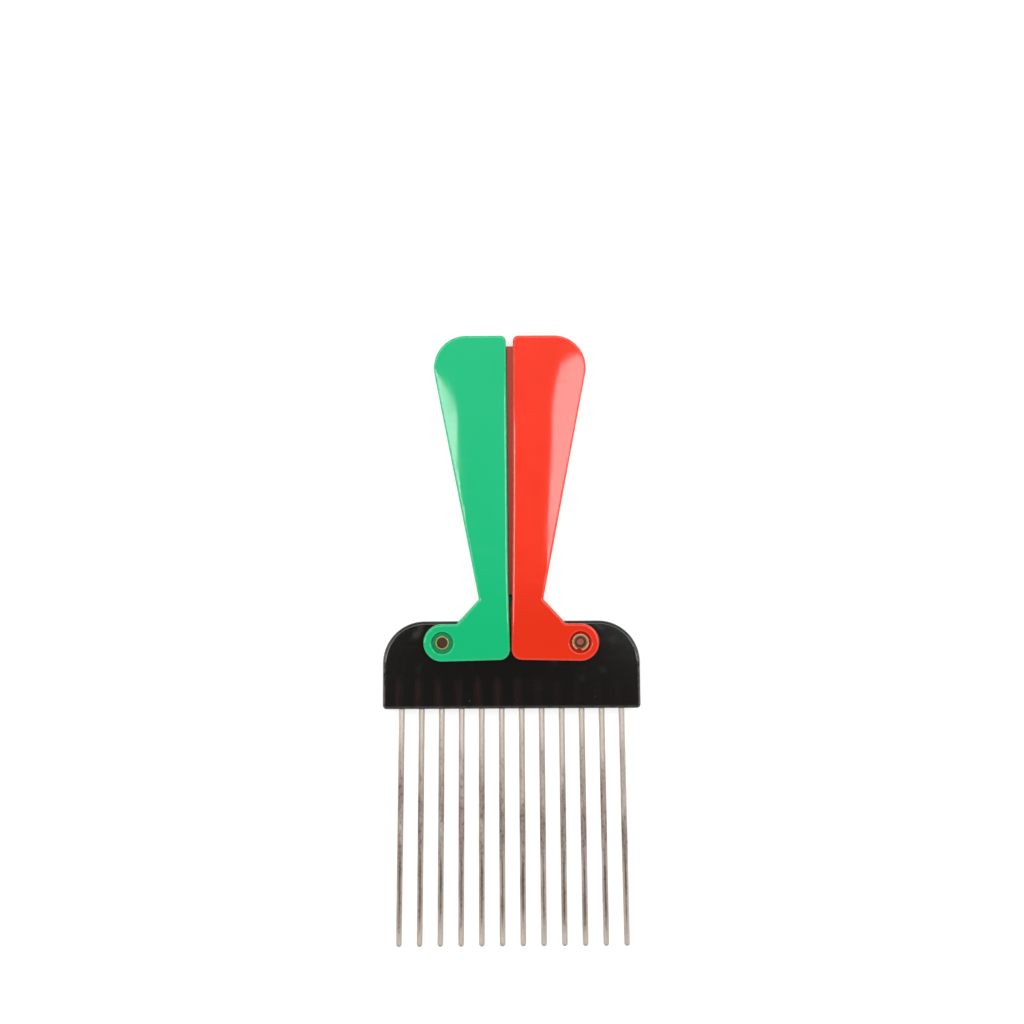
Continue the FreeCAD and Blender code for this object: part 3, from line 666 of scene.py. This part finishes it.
# Handle mouldings, with heights from the pivot line
LEFT_SHAPE = {"draw_start": 24 * MM, "low_gain": 0.0, "ease": 0.12 * MM, "draft": 0.0}
RIGHT_SHAPE = {"draw_start": 9 * MM, "low_gain": 0.28, "ease": 0.25 * MM, "draft": 0.55 * MM}
PLATE_ROOT = 3.0 * MM
PLATE_DRAW = 0.5 * MM
WIDE_FROM = 46 * MM
DRAW_RAMP = 22 * MM
DRAW_END = 76 * MM
DRAW_END_SHARE = 0.6
EDGE_NEAR = 1.5 * MM
EDGE_FAR = 4.5 * MM
EASE_START = 5 * MM
EASE_END = 60 * MM
DRAFT_FOOT = (2.5 * MM, 3.2 * MM)
DRAFT_RISE = (-6 * MM, 6 * MM)
DRAFT_FALL = (12 * MM, 14.5 * MM)
GRID_ACROSS = 1.5 * MM
GRID_ALONG = 2.5 * MM
MERGE_DISTANCE = 0.001 * MM
FLAT_ANGLE = math.radians(0.3)
SMOOTH_ANGLE = math.radians(40)
NORMAL_WEIGHT = 80


def merged_copy(node_name, piece_name):
    """A piece that starts as a merged copy of a node's mesh, with its flat faces whole."""
    piece = bpy.data.objects.new(piece_name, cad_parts[node_name].data.copy())
    bpy.context.scene.collection.objects.link(piece)
    select_only(piece)
    bpy.ops.mesh.customdata_custom_splitnormals_clear()
    bpy.ops.object.mode_set(mode="EDIT")
    bpy.ops.mesh.select_all(action="SELECT")
    bpy.ops.mesh.remove_doubles(threshold=MERGE_DISTANCE)
    bpy.ops.mesh.dissolve_limited(angle_limit=FLAT_ANGLE)
    bpy.ops.object.mode_set(mode="OBJECT")
    return piece


def cut_grid(axis, start, stop, step):
    """Cuts the whole active mesh by evenly spaced planes across an axis."""
    normal = Vector((0.0, 0.0, 0.0))
    normal[axis] = 1.0
    bpy.ops.object.mode_set(mode="EDIT")
    for index in range(int(abs(stop - start) / step) + 1):
        place = Vector((0.0, 0.0, 0.0))
        place[axis] = start + math.copysign(index * step, stop - start)
        bpy.ops.mesh.select_all(action="SELECT")
        bpy.ops.mesh.bisect(plane_co=place, plane_no=normal)
    bpy.ops.object.mode_set(mode="OBJECT")


def smooth_step(value, low, high):
    share = min(max((value - low) / (high - low), 0.0), 1.0)
    return share * share * (3.0 - 2.0 * share)


def draw_plates_in(piece, reach, start, low_gain):
    """Moves the plates towards the handle's middle plane, more and more with the distance from the web."""
    full = start + DRAW_RAMP
    for vertex in piece.data.vertices:
        away = max(abs(vertex.co.x) - PLATE_ROOT, 0.0) / reach
        height = vertex.co.y - PIVOT.y
        share = smooth_step(height, start, full)
        share *= 1.0 + low_gain * (1.0 - smooth_step(height, full, DRAW_END))
        share *= 1.0 - (1.0 - DRAW_END_SHARE) * smooth_step(height, DRAW_END, HANDLE_TOP - PIVOT.y)
        vertex.co.z -= math.copysign(PLATE_DRAW * away * away * share, vertex.co.z - MIDDLE_Z)


def ease_inner_edge(piece, amount):
    """Sets the handle's inner edge over to the left along the heel, less and less up the handle."""
    for vertex in piece.data.vertices:
        share = 1.0 - smooth_step(abs(vertex.co.x), EDGE_NEAR, EDGE_FAR)
        share *= 1.0 - smooth_step(vertex.co.y - PIVOT.y, EASE_START, EASE_END)
        vertex.co.x -= amount * share


def draft_inner_edge(piece, amount):
    """Sets the foot of the plates' inner edges over to the left beside the stop tab, as mould draft."""
    for vertex in piece.data.vertices:
        height = vertex.co.y - PIVOT.y
        at_foot = DRAFT_FOOT[0] < abs(vertex.co.z - MIDDLE_Z) < DRAFT_FOOT[1]
        if at_foot and abs(vertex.co.x) < EDGE_NEAR:
            share = smooth_step(height, *DRAFT_RISE) * (1.0 - smooth_step(height, *DRAFT_FALL))
            vertex.co.x -= amount * share


def handle_moulding(node_name, piece_name, finish, shape):
    """A handle with its plates drawn in, its inner edge eased over and drafted, and its edges smooth."""
    low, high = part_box(node_name)
    side = math.copysign(1.0, low.x + high.x)
    piece = merged_copy(node_name, piece_name)
    outer = max(abs(v.co.x) for v in piece.data.vertices if v.co.y > PIVOT.y + WIDE_FROM)
    cut_grid(X_AXIS, side * PLATE_ROOT, side * outer, GRID_ACROSS)
    cut_grid(Y_AXIS, PIVOT.y + shape["draw_start"], high.y, GRID_ALONG)
    draw_plates_in(piece, outer - PLATE_ROOT, shape["draw_start"], shape["low_gain"])
    ease_inner_edge(piece, shape["ease"])
    draft_inner_edge(piece, shape["draft"])
    select_only(piece)
    bpy.ops.object.shade_smooth_by_angle(angle=SMOOTH_ANGLE)
    apply_modifier(piece, "WEIGHTED_NORMAL", keep_sharp=True, weight=NORMAL_WEIGHT)
    give_finish(piece, finish)
    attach(piece, node_name)
    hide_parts(node_name)


# Floor
FLOOR_SIDE = 8.0
FLOOR_GAP = 0.05 * MM


def lay_floor(effects):
    bpy.ops.mesh.primitive_plane_add(size=FLOOR_SIDE, location=(0.0, 0.0, cad_box[0][2] - FLOOR_GAP))
    floor = bpy.context.object
    floor.name = "floor"
    give_finish(floor, white_floor(effects))


# Studio: each softbox by two corners in plan, and the room's light by the direction that it comes from
SOFTBOX_HEIGHT = 1300 * MM
WATTS_PER_SQUARE_METRE = 4.0
LEFT_SOFTBOX = ((-1.1, -0.03), (-0.112, 0.112))
LEFT_SOFTBOX_LIGHT = 6.0
RIGHT_SOFTBOX = ((0.087, -0.03), (1.1, 0.135))
RIGHT_SOFTBOX_LIGHT = 4.9
BACK_SOFTBOX = ((-1.1, 0.22), (1.1, 0.8))
BACK_SOFTBOX_LIGHT = 2.08
CEILING_DARK = 0.03
BACK_LIGHT = 0.3
BACK_BAND = (-0.02, 0.06)
FRONT_LIGHT = 0.55
FRONT_BAND = (-0.06, -0.085)
HORIZON_LIGHT = 0.9
HORIZON_BAND = (0.5, 0.1)


def hang_softbox(name, corners, brightness):
    """A flat softbox at the softboxes' height, between two corners, that shines straight down."""
    low, high = corners
    lamp = bpy.data.lights.new(name, "AREA")
    lamp.shape = "RECTANGLE"
    lamp.size = high[0] - low[0]
    lamp.size_y = high[1] - low[1]
    lamp.energy = WATTS_PER_SQUARE_METRE * lamp.size * lamp.size_y * brightness
    softbox = bpy.data.objects.new(name, lamp)
    softbox.location = ((low[0] + high[0]) / 2, (low[1] + high[1]) / 2, SOFTBOX_HEIGHT)
    bpy.context.scene.collection.objects.link(softbox)


def light_room():
    """A room that is dark over the camera, lighter to the back and front, and palest low down."""
    world = bpy.data.worlds.new("studio_room")
    world.use_nodes = True
    bpy.context.scene.world = world
    tree = world.node_tree
    way = add_node(tree, "ShaderNodeTexCoord").outputs["Generated"]
    axes = add_node(tree, "ShaderNodeSeparateXYZ", {0: way}).outputs
    room = remap(tree, axes["Y"], *BACK_BAND, CEILING_DARK, BACK_LIGHT)
    room = mix_value(tree, remap(tree, axes["Y"], *FRONT_BAND), room, FRONT_LIGHT)
    room = mix_value(tree, remap(tree, axes["Z"], *HORIZON_BAND), room, HORIZON_LIGHT)
    camera_ray = add_node(tree, "ShaderNodeLightPath").outputs["Is Camera Ray"]
    strength = maths(tree, "MAXIMUM", room, camera_ray)
    set_sockets(tree, tree.nodes["Background"], {"Color": WHITE, "Strength": strength})


def light_studio():
    """Softboxes at the left, the right and the back, in the room."""
    hang_softbox("left_softbox", LEFT_SOFTBOX, LEFT_SOFTBOX_LIGHT)
    hang_softbox("right_softbox", RIGHT_SOFTBOX, RIGHT_SOFTBOX_LIGHT)
    hang_softbox("back_softbox", BACK_SOFTBOX, BACK_SOFTBOX_LIGHT)
    light_room()


def aim_camera():
    """Straight down on the pick, placed so that the pivot line falls on its pixel."""
    centre = Vector((PICTURE_SIDE / 2, PICTURE_SIDE / 2))
    shift = (centre - PIVOT_MIDDLE_PIXEL) / PIXELS_PER_MM * MM
    camera = bpy.data.objects.new("camera", bpy.data.cameras.new("camera"))
    camera.location = (shift.x, PIVOT.y - shift.y, MIDDLE_Z + CAMERA_HEIGHT)
    camera.rotation_euler.z = CAMERA_ROLL
    camera.data.sensor_width = CAMERA_SENSOR
    camera.data.lens = CAMERA_SENSOR * CAMERA_HEIGHT / (PICTURE_SIDE / PIXELS_PER_MM * MM)
    bpy.context.scene.collection.objects.link(camera)
    bpy.context.scene.camera = camera
    bpy.context.scene.view_settings.view_transform = "Standard"


# The pick gets its finishes and handles, and then its floor, light and camera
effects = {
    "scratches": hairline_scratches(),
    "dust": dust_specks(),
    "skin": mould_skin(),
    "edges": edge_wear_and_highlight(),
    "lines": drawn_lines(),
    "pivot": pivot_distance(),
    "ledge_sheen": gap_ledge_sheen(),
}
green = moulded_plastic("green_handle_plastic", GREEN, effects)
red = moulded_plastic("red_handle_plastic", RED, effects)
handle_moulding("left_handle", "green_handle", green, LEFT_SHAPE)
handle_moulding("right_handle", "red_handle", red, RIGHT_SHAPE)
give_finish(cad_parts["comb_head"], head_plastic(effects))
give_finish(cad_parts["left_rivet"], rivet_brass("left_rivet_brass", LEFT_BRASS, effects))
give_finish(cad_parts["right_rivet"], rivet_brass("right_rivet_brass", RIGHT_BRASS, effects))
steel = tine_steel(effects)
for tine in TINES:
    give_finish(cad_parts[tine], steel)
lay_floor(effects)
light_studio()
aim_camera()
